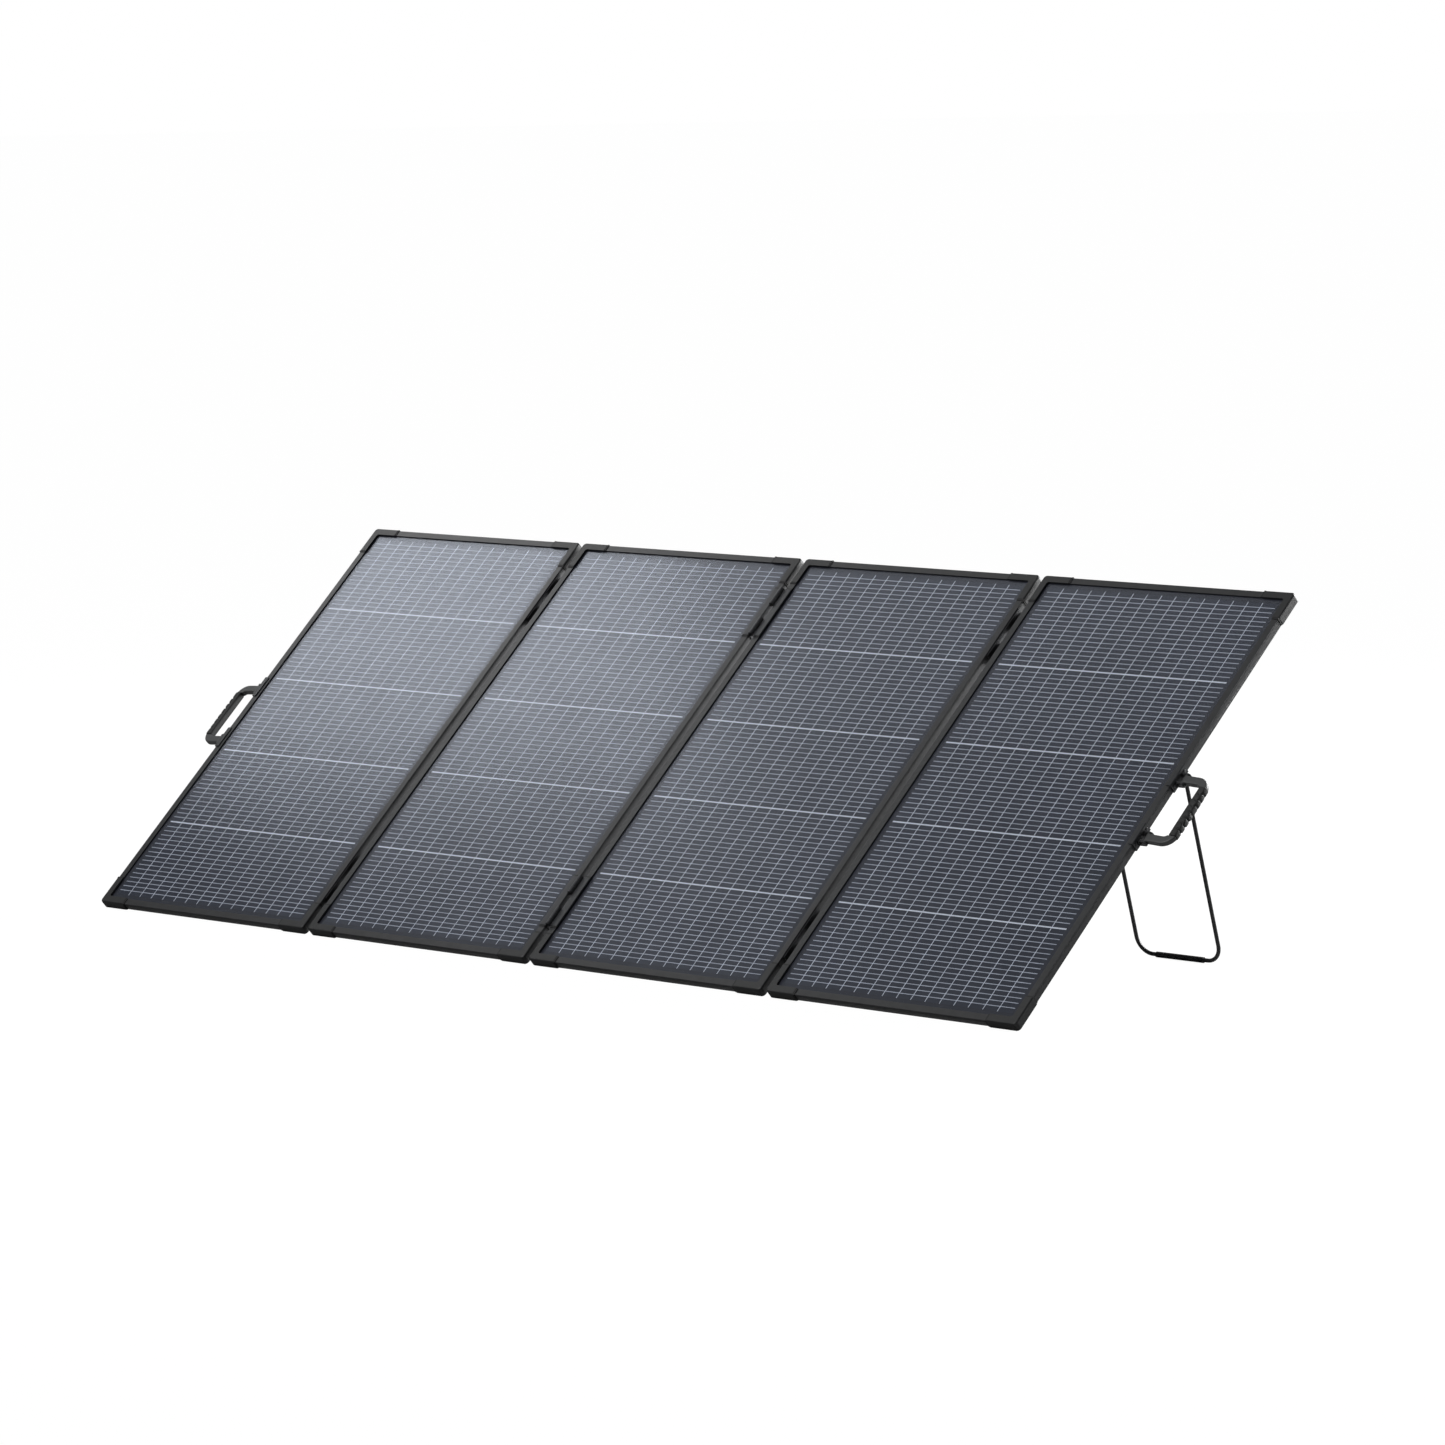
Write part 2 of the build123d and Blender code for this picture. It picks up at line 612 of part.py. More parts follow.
def box_corner():
    """Lower left corner of the junction box on its panel."""
    return (PANEL_W - BOX_W) / 2, PANEL_H - BOX_TOP_INSET - BOX_L


def junction_box():
    """Tray with an open back and a hole for the gland in its lower wall."""
    x, y = box_corner()
    back = LAMINATE_BACK - BOX_T + LID_T
    tray = block(x, x + BOX_W, y, y + BOX_L, back, LAMINATE_BACK)
    tray = fillet(tray.edges().filter_by(Axis.Z), BOX_EDGE)
    tray -= block(x + BOX_WALL, x + BOX_W - BOX_WALL, y + BOX_WALL, y + BOX_L - BOX_WALL,
                  back, LAMINATE_BACK - BOX_WALL)
    return tray - rod_y(GLAND_R, x + BOX_W / 2, y - OVERCUT, y + BOX_WALL, gland_depth())


def junction_lid():
    """Lid that closes the tray and steps down into it."""
    x, y = box_corner()
    back = LAMINATE_BACK - BOX_T
    lid = block(x, x + BOX_W, y, y + BOX_L, back, back + LID_T)
    lid = fillet(lid.edges().filter_by(Axis.Z), BOX_EDGE)
    lid = fillet(lid.edges().filter_by_position(Axis.Z, back, back), LID_T / 2)
    wall = BOX_WALL + SLOT_PLAY
    return lid + block(x + wall, x + BOX_W - wall, y + wall, y + BOX_L - wall,
                       back + LID_T, back + LID_T + LID_STEP)


def gland_depth():
    """Z of the gland's axis, half way up the inside of the tray."""
    return LAMINATE_BACK - (BOX_T - LID_T + BOX_WALL) / 2


def cable_gland():
    """Hollow gland that leads the output lead out of the box."""
    x = PANEL_W / 2
    y = box_corner()[1]
    z = gland_depth()
    body = rod_y(GLAND_R, x, y - GLAND_LENGTH, y + BOX_WALL, z)
    body += rod_y(GLAND_COLLAR_R, x, y - GLAND_COLLAR, y, z)
    end = body.edges().sort_by(Axis.Y)[0]
    body = fillet(end, LID_STEP)
    return body - rod_y(GLAND_BORE_R, x, y - GLAND_LENGTH - OVERCUT, y + BOX_WALL + OVERCUT, z)


# ---------------------------------------------------------------- the whole row, laid flat

def as_list(pieces):
    """A list of pieces, whether one or several were made."""
    if isinstance(pieces, (list, ShapeList)):
        return list(pieces)
    return [pieces]


def moved(pieces, x):
    """Copies of the pieces, moved along the row."""
    return [Pos(x, 0, 0) * piece for piece in as_list(pieces)]


def mirrored(pieces):
    """Mirror images of the pieces at the other end of the row."""
    return [flip_x(piece, ROW_W / 2) for piece in as_list(pieces)]


def panel_nodes():
    """Frame, laminate and screws of every panel."""
    made = {
        "side_rails": side_rails(),
        "end_rails": end_rails(),
        "corner_caps": corner_caps(),
        "front_sheet": laminate_slab(CELL_FRONT, LAMINATE_FRONT),
        "cell_rows": cell_rows(),
        "back_board": back_board(),
        "cap_screws": cap_screws(),
    }
    nodes = {}
    for index in range(PANEL_COUNT):
        for name, pieces in made.items():
            nodes[f"{name}_{index + 1}"] = moved(pieces, index * PITCH)
    holes = bracket_screw_holes()
    last = f"side_rails_{PANEL_COUNT}"
    nodes["side_rails_1"][0] -= holes
    nodes[last][1] -= mirrored(holes)
    return nodes


def hinge_nodes():
    """Leaves and pins of the three seams. The middle seam's hinges are on the front."""
    nodes = {}
    left = leaf(-1)
    right = leaf(1)
    pins = hinge_pins()
    for seam in range(PANEL_COUNT - 1):
        rear = seam % 2 == 0
        name = f"{seam + 1}{seam + 2}"
        nodes[f"hinge_leaves_{name}_left"] = on_seam([left], seam, rear)
        nodes[f"hinge_leaves_{name}_right"] = on_seam([right], seam, rear)
        nodes[f"hinge_pins_{name}"] = on_seam(pins, seam, rear)
    return nodes


def end_nodes(number):
    """Handle and kickstand of the first panel, or their mirror images on the last."""
    arm = bail()
    made = {
        "handle_brackets": handle_brackets(),
        "bracket_screws": bracket_screws(),
        "handle_pins": handle_pins(),
        "handle_arm": hung(arm),
        "handle_grip": hung(grip_blank() - arm),
        "leg_rod": opened(leg_rod()),
        "leg_foot": opened(leg_foot()),
        "leg_pivots": pivot_blocks(),
        "cross_rail": cross_rail(),
    }
    nodes = {}
    for name, pieces in made.items():
        if number > 1:
            pieces = mirrored(pieces)
        nodes[f"{name}_{number}"] = as_list(pieces)
    return nodes


def box_nodes():
    """Junction box, its lid and its gland."""
    x = BOX_PANEL * PITCH
    return {
        "junction_box": moved(junction_box(), x),
        "junction_lid": moved(junction_lid(), x),
        "cable_gland": moved(cable_gland(), x),
    }


def tilted(shape):
    """Tilt a piece of the flat row to its slope."""
    return shape.rotate(Axis.X, TILT)


NODES = {**panel_nodes(), **hinge_nodes(), **end_nodes(1), **end_nodes(PANEL_COUNT),
         **box_nodes()}
TILTED = {name: [tilted(solid) for piece in pieces for solid in piece.solids()]
          for name, pieces in NODES.items()}

# The origin is the middle of the bottom of the whole object's box.
EXTENT = Compound([solid for solids in TILTED.values() for solid in solids]).bounding_box()
SHIFT = Pos(-(EXTENT.min.X + EXTENT.max.X) / 2, -(EXTENT.min.Y + EXTENT.max.Y) / 2, -GROUND)

os.makedirs("parts", exist_ok=True)
for name, solids in TILTED.items():
    export_step(Compound([SHIFT * solid for solid in solids]), f"parts/{name}.step")
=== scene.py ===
import json
import math

import bmesh
import bpy
from mathutils import Matrix, Quaternion, Vector


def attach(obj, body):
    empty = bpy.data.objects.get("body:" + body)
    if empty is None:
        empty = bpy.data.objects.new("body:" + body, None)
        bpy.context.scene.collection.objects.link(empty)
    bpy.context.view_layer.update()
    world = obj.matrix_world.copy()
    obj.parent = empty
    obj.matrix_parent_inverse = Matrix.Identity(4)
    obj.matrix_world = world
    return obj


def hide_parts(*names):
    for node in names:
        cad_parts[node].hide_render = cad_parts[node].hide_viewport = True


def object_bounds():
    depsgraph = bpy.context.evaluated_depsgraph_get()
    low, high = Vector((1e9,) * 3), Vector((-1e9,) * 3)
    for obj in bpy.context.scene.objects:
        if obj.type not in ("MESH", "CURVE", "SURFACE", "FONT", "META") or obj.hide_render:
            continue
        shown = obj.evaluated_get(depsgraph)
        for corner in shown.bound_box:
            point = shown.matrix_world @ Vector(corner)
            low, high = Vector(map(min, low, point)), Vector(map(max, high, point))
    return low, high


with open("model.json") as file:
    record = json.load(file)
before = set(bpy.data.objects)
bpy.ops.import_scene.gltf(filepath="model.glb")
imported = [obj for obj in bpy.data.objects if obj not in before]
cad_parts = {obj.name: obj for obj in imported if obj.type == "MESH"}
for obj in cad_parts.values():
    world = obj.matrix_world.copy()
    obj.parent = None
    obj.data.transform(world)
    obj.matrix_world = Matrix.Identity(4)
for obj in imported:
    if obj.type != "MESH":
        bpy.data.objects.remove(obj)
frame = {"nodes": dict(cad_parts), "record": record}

CAD_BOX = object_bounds()
MM = 0.001

# ---------------------------------------------------------------- the row's own frame
# U runs up the slope and N stands out of the front faces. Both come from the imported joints.

JOINTS = {joint["name"]: joint for joint in frame["record"]["behaviour"]["joints"]}
PANELS = (1, 2, 3, 4)
ENDS = (1, 4)
X_AXIS = Vector((1, 0, 0))
U_AXIS = Vector(JOINTS["fold_34"]["axis"]).normalized()
N_AXIS = X_AXIS.cross(U_AXIS)
ROW_TURN = Matrix((X_AXIS, U_AXIS, N_AXIS)).transposed().to_4x4()
# The row's origin is the middle of its front. The middle seam's axis stands this far in front of it.
FOLD_OUT = 1.25 * MM
MIDDLE = Vector(JOINTS["fold_23"]["pos_m"]) - FOLD_OUT * N_AXIS


def row_matrix(x, u, n):
    """Matrix that puts row coordinates, counted from the point x, u, n, in the object's frame."""
    origin = MIDDLE + x * X_AXIS + u * U_AXIS + n * N_AXIS
    return Matrix.Translation(origin) @ ROW_TURN


def in_row(point):
    """Row coordinates of a point in the object's frame."""
    offset = Vector(point) - MIDDLE
    return Vector((offset.dot(X_AXIS), offset.dot(U_AXIS), offset.dot(N_AXIS)))


def row_box(node):
    """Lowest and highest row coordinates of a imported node's vertices."""
    mesh = frame["nodes"][node].data
    points = [in_row(vertex.co) for vertex in mesh.vertices]
    low = Vector(min(point[axis] for point in points) for axis in range(3))
    high = Vector(max(point[axis] for point in points) for axis in range(3))
    return low, high


# ---------------------------------------------------------------- materials

def new_material(name):
    """An empty node material and its node tree."""
    material = bpy.data.materials.new(name)
    material.use_nodes = True
    tree = material.node_tree
    tree.nodes.clear()
    return material, tree


def add(tree, kind, inputs=None, **properties):
    """Add a node, and set its properties and the values of the inputs that are named."""
    node = tree.nodes.new(kind)
    for name, value in properties.items():
        setattr(node, name, value)
    for name, value in (inputs or {}).items():
        node.inputs[name].default_value = value
    return node


def row_coordinates(tree):
    """Texture coordinates turned into the row's frame, in metres."""
    coords = add(tree, "ShaderNodeTexCoord")
    turn = ROW_TURN.to_3x3().transposed().to_euler()
    mapping = add(tree, "ShaderNodeMapping", vector_type="POINT")
    mapping.inputs["Rotation"].default_value = turn
    tree.links.new(coords.outputs["Object"], mapping.inputs["Vector"])
    return mapping.outputs["Vector"]


def stretched(tree, vector, scale):
    """Scale a coordinate differently along each axis."""
    mapping = add(tree, "ShaderNodeMapping", vector_type="POINT")
    mapping.inputs["Scale"].default_value = scale
    tree.links.new(vector, mapping.inputs["Vector"])
    return mapping.outputs["Vector"]


def noise(tree, vector, scale, detail=3.0, roughness=0.55):
    """Noise value for a coordinate."""
    node = add(tree, "ShaderNodeTexNoise",
               inputs={"Scale": scale, "Detail": detail, "Roughness": roughness})
    tree.links.new(vector, node.inputs["Vector"])
    return node.outputs["Fac"]


def ramp(tree, value, low, high, first, last):
    """Map a value between two limits to a value between two others."""
    node = add(tree, "ShaderNodeMapRange",
               inputs={"From Min": low, "From Max": high, "To Min": first, "To Max": last})
    tree.links.new(value, node.inputs["Value"])
    return node.outputs["Result"]


def blend_colors(tree, factor, first, second):
    """Mix two colours by a factor."""
    node = add(tree, "ShaderNodeMix", data_type="RGBA")
    for index, color in ((6, first), (7, second)):
        if isinstance(color, tuple):
            node.inputs[index].default_value = (*color, 1.0)
        else:
            tree.links.new(color, node.inputs[index])
    tree.links.new(factor, node.inputs[0])
    return node.outputs[2]


EDGE_RADIUS = 0.5 * MM
EDGE_LEAN = 0.06             # lean of the bevelled normal, as one less its cosine, where the painted edge highlight is full
BEVEL_SAMPLES = 4


def edge_highlight_mask(tree):
    """Mask of the painted edge highlight: how far the bevelled normal leans from the true one, 0 on
    flat faces and 1 on sharp edges.
    """
    bevel = add(tree, "ShaderNodeBevel", samples=BEVEL_SAMPLES, inputs={"Radius": EDGE_RADIUS})
    geometry = add(tree, "ShaderNodeNewGeometry")
    product = add(tree, "ShaderNodeVectorMath", operation="DOT_PRODUCT")
    tree.links.new(bevel.outputs["Normal"], product.inputs[0])
    tree.links.new(geometry.outputs["Normal"], product.inputs[1])
    return ramp(tree, product.outputs["Value"], 1.0, 1.0 - EDGE_LEAN, 0.0, 1.0)


def mottled(tree, place, scale, dark, light):
    """Soft clouds between two tones of a colour."""
    clouds = noise(tree, place, scale)
    return blend_colors(tree, ramp(tree, clouds, 0.3, 0.7, 0.0, 1.0), dark, light)


def relief(tree, height, strength, depth, shader):
    """Bump from a height, fed to a shader's normal."""
    bump = add(tree, "ShaderNodeBump", inputs={"Strength": strength, "Distance": depth})
    tree.links.new(height, bump.inputs["Height"])
    tree.links.new(bump.outputs["Normal"], shader.inputs["Normal"])


ROUGHNESS_SPREAD = 0.1       # how far the grain moves the roughness in all


def finished(name, color, metallic=0.0, roughness=0.45, mottle=0.12, mottle_scale=60.0,
             grain_scale=1800.0, grain=(1, 1, 1), bump=0.05, bump_depth=0.06 * MM,
             edge=0.0, edge_highlight_color=None):
    """A surface with mottled colour, grain in its roughness and relief, and a painted highlight on
    its edges.
    """
    material, tree = new_material(name)
    shader = add(tree, "ShaderNodeBsdfPrincipled", inputs={"Metallic": metallic})
    output = add(tree, "ShaderNodeOutputMaterial")
    tree.links.new(shader.outputs[0], output.inputs[0])
    place = row_coordinates(tree)
    dark = tuple(channel * (1.0 - mottle) for channel in color)
    light = tuple(min(1.0, channel * (1.0 + mottle)) for channel in color)
    surface = mottled(tree, place, mottle_scale, dark, light)
    # The edge strength and colour paint a highlight along the edges.
    if edge > 0.0:
        strength = ramp(tree, edge_highlight_mask(tree), 0.0, 1.0, 0.0, edge)
        surface = blend_colors(tree, strength, surface, edge_highlight_color or light)
    tree.links.new(surface, shader.inputs["Base Color"])
    grained = noise(tree, stretched(tree, place, grain), grain_scale, detail=2.0)
    varied = ramp(tree, grained, 0.25, 0.75, roughness - ROUGHNESS_SPREAD / 2,
                  roughness + ROUGHNESS_SPREAD / 2)
    tree.links.new(varied, shader.inputs["Roughness"])
    relief(tree, grained, bump, bump_depth, shader)
    return material


FILM_ROUGHNESS = 0.21
FILM_HAZE = 0.02            # how far smudges move the roughness either way
SMUDGE_SCALE = 12.0
FILM_GLOSS = 0.025          # share of light that one face of the film reflects head-on
FRESNEL_POWER = 5.0


def film_material():
    """Clear front film: it shows the cells, and adds a soft sheen of its own."""
    material, tree = new_material("film")
    output = add(tree, "ShaderNodeOutputMaterial")
    clear = add(tree, "ShaderNodeBsdfTransparent", inputs={"Color": (0.97, 0.98, 1.0, 1.0)})
    gloss = add(tree, "ShaderNodeBsdfAnisotropic", inputs={"Color": (0.86, 0.91, 1.0, 1.0)})
    mix = add(tree, "ShaderNodeMixShader")
    facing = add(tree, "ShaderNodeLayerWeight", inputs={"Blend": 0.5})
    curve = add(tree, "ShaderNodeMath", operation="POWER", inputs={1: FRESNEL_POWER})
    tree.links.new(facing.outputs["Facing"], curve.inputs[0])
    tree.links.new(ramp(tree, curve.outputs[0], 0.0, 1.0, FILM_GLOSS, 1.0), mix.inputs[0])
    tree.links.new(clear.outputs[0], mix.inputs[1])
    tree.links.new(gloss.outputs[0], mix.inputs[2])
    tree.links.new(mix.outputs[0], output.inputs[0])
    smudges = noise(tree, row_coordinates(tree), SMUDGE_SCALE)
    haze = ramp(tree, smudges, 0.3, 0.7, FILM_ROUGHNESS - FILM_HAZE, FILM_ROUGHNESS + FILM_HAZE)
    tree.links.new(haze, gloss.inputs["Roughness"])
    return material


def cell_material():
    """Dark silicon with a soft variation of tone."""
    material, tree = new_material("solar_cell")
    shader = add(tree, "ShaderNodeBsdfPrincipled", inputs={"Roughness": 0.4})
    output = add(tree, "ShaderNodeOutputMaterial")
    tree.links.new(shader.outputs[0], output.inputs[0])
    place = row_coordinates(tree)
    surface = mottled(tree, place, 7.0, (0.010, 0.013, 0.025), (0.017, 0.021, 0.036))
    tree.links.new(surface, shader.inputs["Base Color"])
    relief(tree, noise(tree, place, 1500.0, detail=2.0), 0.08, 0.04 * MM, shader)
    return material


def rail_material(name, grain):
    """Powder-coated rail with its drawn grain along one axis, and a painted highlight on its edges.
    """
    return finished(name, (0.040, 0.041, 0.043), metallic=0.25, roughness=0.40, grain=grain,
                    grain_scale=2200.0, bump=0.10, edge=0.30, edge_highlight_color=(0.20, 0.205, 0.21))


# edge and its colour give a finish a painted highlight along its edges.
MATERIALS = {
    "frame_rail": rail_material("frame_rail", (1, 0.02, 1)),
    "end_rail": rail_material("end_rail", (0.02, 1, 1)),
    "corner_cap": finished("corner_cap", (0.016, 0.017, 0.018), roughness=0.45, mottle=0.10,
                           grain_scale=2600.0, bump=0.35, bump_depth=0.08 * MM, edge=0.25,
                           edge_highlight_color=(0.09, 0.09, 0.095)),
    "front_sheet": film_material(),
    "solar_cell": cell_material(),
    "back_board": finished("back_board", (0.008, 0.009, 0.018), roughness=0.5, mottle=0.15,
                           mottle_scale=25.0, grain_scale=1500.0, bump=0.2),
    "screw_steel": finished("screw_steel", (0.10, 0.10, 0.105), metallic=1.0, roughness=0.38,
                            edge=0.3, edge_highlight_color=(0.7, 0.7, 0.7)),
    "hinge_metal": finished("hinge_metal", (0.05, 0.052, 0.056), metallic=0.4, roughness=0.36,
                            edge=0.35, edge_highlight_color=(0.30, 0.30, 0.31)),
    "pin_steel": finished("pin_steel", (0.12, 0.12, 0.125), metallic=1.0, roughness=0.35),
    "bracket": finished("bracket", (0.05, 0.052, 0.055), metallic=0.4, roughness=0.36,
                        edge=0.4, edge_highlight_color=(0.32, 0.32, 0.33)),
    "handle_arm": finished("handle_arm", (0.070, 0.072, 0.073), roughness=0.42, mottle=0.08,
                           grain_scale=2400.0, bump=0.25),
    "grip": finished("grip", (0.015, 0.016, 0.016), roughness=0.62, grain_scale=2000.0,
                     bump=0.5, bump_depth=0.1 * MM),
    "leg_rod": finished("leg_rod", (0.020, 0.020, 0.021), roughness=0.38, mottle=0.1,
                        grain_scale=1600.0, bump=0.3, edge=0.1),
    "foot_rubber": finished("foot_rubber", (0.018, 0.018, 0.019), roughness=0.7, bump=0.5),
    "pivot_block": finished("pivot_block", (0.014, 0.014, 0.015), roughness=0.5, bump=0.4),
    "cross_rail": finished("cross_rail", (0.10, 0.102, 0.108), metallic=0.85, roughness=0.42,
                           grain=(0.02, 1, 1), bump=0.12, edge=0.3),
    "junction_box": finished("junction_box", (0.012, 0.012, 0.013), roughness=0.48, bump=0.4),
    "junction_lid": finished("junction_lid", (0.014, 0.014, 0.015), roughness=0.45, bump=0.4),
    "cable_gland": finished("cable_gland", (0.010, 0.010, 0.011), roughness=0.5, bump=0.4),
    "seal": finished("seal", (0.006, 0.006, 0.007), roughness=0.6, bump=0.2),
    "busbar": finished("busbar_silver", (0.84, 0.87, 0.93), metallic=0.35, roughness=0.42,
                       mottle=0.08, bump=0.1),
    "ribbon": finished("printed_silver", (0.84, 0.87, 0.92), roughness=0.55, mottle=0.05,
                       bump=0.1),
    "finger": finished("finger_silver", (0.55, 0.58, 0.64), roughness=0.6, mottle=0.18,
                       mottle_scale=35.0, bump=0.1),
}


def dress_nodes():
    """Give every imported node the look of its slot; end rails have their grain crosswise."""
    for entry in frame["record"]["subparts"]:
        node = entry["node"]
        look = "end_rail" if node.startswith("end_rails") else entry["material_slot"]
        mesh = frame["nodes"][node].data
        mesh.materials.clear()
        mesh.materials.append(MATERIALS[look])


dress_nodes()


# ---------------------------------------------------------------- meshes

def new_object(name, bm, matrix, material, body, smooth=False):
    """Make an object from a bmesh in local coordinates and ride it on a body."""
    bmesh.ops.recalc_face_normals(bm, faces=bm.faces)
    bm.transform(matrix)
    mesh = bpy.data.meshes.new(name)
    bm.to_mesh(mesh)
    bm.free()
    for face in mesh.polygons:
        face.use_smooth = smooth
    mesh.materials.append(material)
    piece = bpy.data.objects.new(name, mesh)
    bpy.context.scene.collection.objects.link(piece)
    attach(piece, body)
    return piece


def add_bar(bm, x0, x1, y0, y1, z0, z1):
    """Add a closed flat bar to a bmesh."""
    corners = [bm.verts.new((x, y, z)) for z in (z0, z1) for x, y in
               ((x0, y0), (x1, y0), (x1, y1), (x0, y1))]
    low, high = corners[:4], corners[4:]
    bm.faces.new(low[::-1])
    bm.faces.new(high)
    for index in range(4):
        after = (index + 1) % 4
        bm.faces.new((low[index], low[after], high[after], high[index]))


# ---------------------------------------------------------------- lines on the cells

CELL_ROWS = 5
BUSBARS = 15                 # in each row of cells
FINGERS = 16                 # in each row of cells
RIBBON_W = 3.0 * MM
BUSBAR_W = 1.4 * MM
FINGER_W = 1.5 * MM
LINE_LIFT = 0.05 * MM        # from the cells to the fingers
LINE_T = 0.04 * MM
FILM_GAP = 0.22 * MM         # from the cells to the back of the film


def cell_lines(panel):
    """Fingers, busbars and ribbons of one panel: thin bars in three layers over the cells."""
    low, high = row_box(f"cell_rows_{panel}")
    row_h = (high.y - low.y - (CELL_ROWS - 1) * RIBBON_W) / CELL_ROWS
    column = (high.x - low.x) / (BUSBARS + 1)
    step = row_h / (FINGERS + 1)
    layers = [high.z + LINE_LIFT + index * LINE_T for index in range(4)]
    busbars, ribbons, fingers = bmesh.new(), bmesh.new(), bmesh.new()
    for row in range(CELL_ROWS):
        start = low.y + row * (row_h + RIBBON_W)
        for index in range(BUSBARS):
            x = low.x + (index + 1) * column
            add_bar(busbars, x - BUSBAR_W / 2, x + BUSBAR_W / 2, start, start + row_h, *layers[1:3])
        for index in range(FINGERS):
            y = start + (index + 1) * step
            add_bar(fingers, low.x, high.x, y - FINGER_W / 2, y + FINGER_W / 2, *layers[0:2])
        if row > 0:
            add_bar(ribbons, low.x, high.x, start - RIBBON_W, start, *layers[2:4])
    for name, bm in (("busbar", busbars), ("ribbon", ribbons), ("finger", fingers)):
        new_object(f"{name}s_{panel}", bm, row_matrix(0, 0, 0), MATERIALS[name],
                   f"panel_{panel}")


def front_film(panel):
    """Clear film that stands just off the printed lines and fills the frame's opening."""
    low, high = row_box(f"front_sheet_{panel}")
    bm = bmesh.new()
    add_bar(bm, low.x, high.x, low.y, high.y, low.z + FILM_GAP, high.z)
    film = new_object(f"film_{panel}", bm, row_matrix(0, 0, 0), MATERIALS["front_sheet"],
                      f"panel_{panel}")
    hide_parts(f"front_sheet_{panel}")


for number in PANELS:
    cell_lines(number)
    front_film(number)


# ---------------------------------------------------------------- painted shade beside cap and leaf ends

CAP_LEG_X = 62.0 * MM
CAP_LEG_Y = 57.0 * MM
CAP_WALL = 1.6 * MM          # how far a cap stands proud of the rails
RAIL_W = 12.7 * MM
RAIL_D = 14.0 * MM
# Width and proudness of the black bands that stand in for the shadow beside cap and leaf ends:
# painted shade.
SHADE_BAND_W = 3.4 * MM
SHADE_BAND_PROUD = 1.1 * MM
HINGE_LENGTH = 110.0 * MM
WALL_GAP = 14.5 * MM         # between the side rails of neighbouring panels


def add_shade_band(bm, along_x, start, wall, inward):
    """Painted shade: thin black band over the front and the outer side of a rail, beside a cap's
    end, standing in for the shadow that the cap's step casts there.
    """
    outside = wall - inward * SHADE_BAND_PROUD
    inside = wall + inward * RAIL_W
    side = sorted((outside, wall))
    front = sorted((outside, inside))
    stop = start + SHADE_BAND_W
    if along_x:
        add_bar(bm, start, stop, *front, -CAP_WALL, -CAP_WALL + SHADE_BAND_PROUD)
        add_bar(bm, start, stop, *side, -CAP_WALL - RAIL_D, -CAP_WALL)
    else:
        add_bar(bm, *front, start, stop, -CAP_WALL, -CAP_WALL + SHADE_BAND_PROUD)
        add_bar(bm, *side, start, stop, -CAP_WALL - RAIL_D, -CAP_WALL)


def cap_shade_bands(panel):
    """Black bands of painted shade beside all eight cap ends of one panel."""
    low, high = row_box(f"corner_caps_{panel}")
    bm = bmesh.new()
    for wall, inward in ((low.y + CAP_WALL, 1), (high.y - CAP_WALL, -1)):
        add_shade_band(bm, True, low.x + CAP_LEG_X, wall, inward)
        add_shade_band(bm, True, high.x - CAP_LEG_X - SHADE_BAND_W, wall, inward)
    for wall, inward in ((low.x + CAP_WALL, 1), (high.x - CAP_WALL, -1)):
        add_shade_band(bm, False, low.y + CAP_LEG_Y, wall, inward)
        add_shade_band(bm, False, high.y - CAP_LEG_Y - SHADE_BAND_W, wall, inward)
    # The seal's black finish serves as painted shade here.
    new_object(f"cap_shade_bands_{panel}", bm, row_matrix(0, 0, 0), MATERIALS["seal"],
               f"panel_{panel}")


def leaf_shade_bands(side, panel):
    """Painted shade: black bands on one panel's rail, beside the ends of its leaves on the middle
    seam, standing in for their shadow.
    """
    low, high = row_box(f"hinge_leaves_23_{side}")
    if low.x + high.x < 0.0:
        high.x = -WALL_GAP / 2
    else:
        low.x = WALL_GAP / 2
    bm = bmesh.new()
    for start in (low.y, high.y - HINGE_LENGTH):
        for edge in (start - SHADE_BAND_W, start + HINGE_LENGTH):
            add_bar(bm, low.x, high.x, edge, edge + SHADE_BAND_W, -CAP_WALL, -CAP_WALL + SHADE_BAND_PROUD)
    # The seal's black finish serves as painted shade here.
    new_object(f"leaf_shade_bands_{panel}", bm, row_matrix(0, 0, 0), MATERIALS["seal"],
               f"panel_{panel}")


for number in PANELS:
    cap_shade_bands(number)
leaf_shade_bands("left", 2)
leaf_shade_bands("right", 3)


# ---------------------------------------------------------------- grips

GRIP_LENGTH = 106.0 * MM
GRIP_W = 15.0 * MM
GRIP_T = 14.0 * MM
GRIP_CROWN = 1.6 * MM
GRIP_OUT = 44.1 * MM         # from the swing axis to the grip's middle
GRIP_END = 2.5 * MM          # rounding of the two ends
HANDLE_DROOP = math.radians(5.0)
SQUARENESS = 3.4             # of the section: 2 is an ellipse
RIDGES = 7
RIDGE_PITCH = 12.6 * MM
NOTCH_DEPTH = 1.5 * MM
NOTCH_W = 1.1 * MM           # of its steep flank
NOTCH_TAIL = 2.4             # its gentle flank is this many times as wide
NOTCH_BEND = 3.2 * MM        # how far a crescent bows along the grip
NOTCH_FADE = (-0.12, 0.30)   # across the grip, where a notch begins and is at full depth
RINGS = 212
RING_POINTS = 56


def smooth_step(low, high, value):
    """0 below low, 1 above high and a smooth rise between them."""
    t = min(1.0, max(0.0, (value - low) / (high - low)))
    return t * t * (3.0 - 2.0 * t)


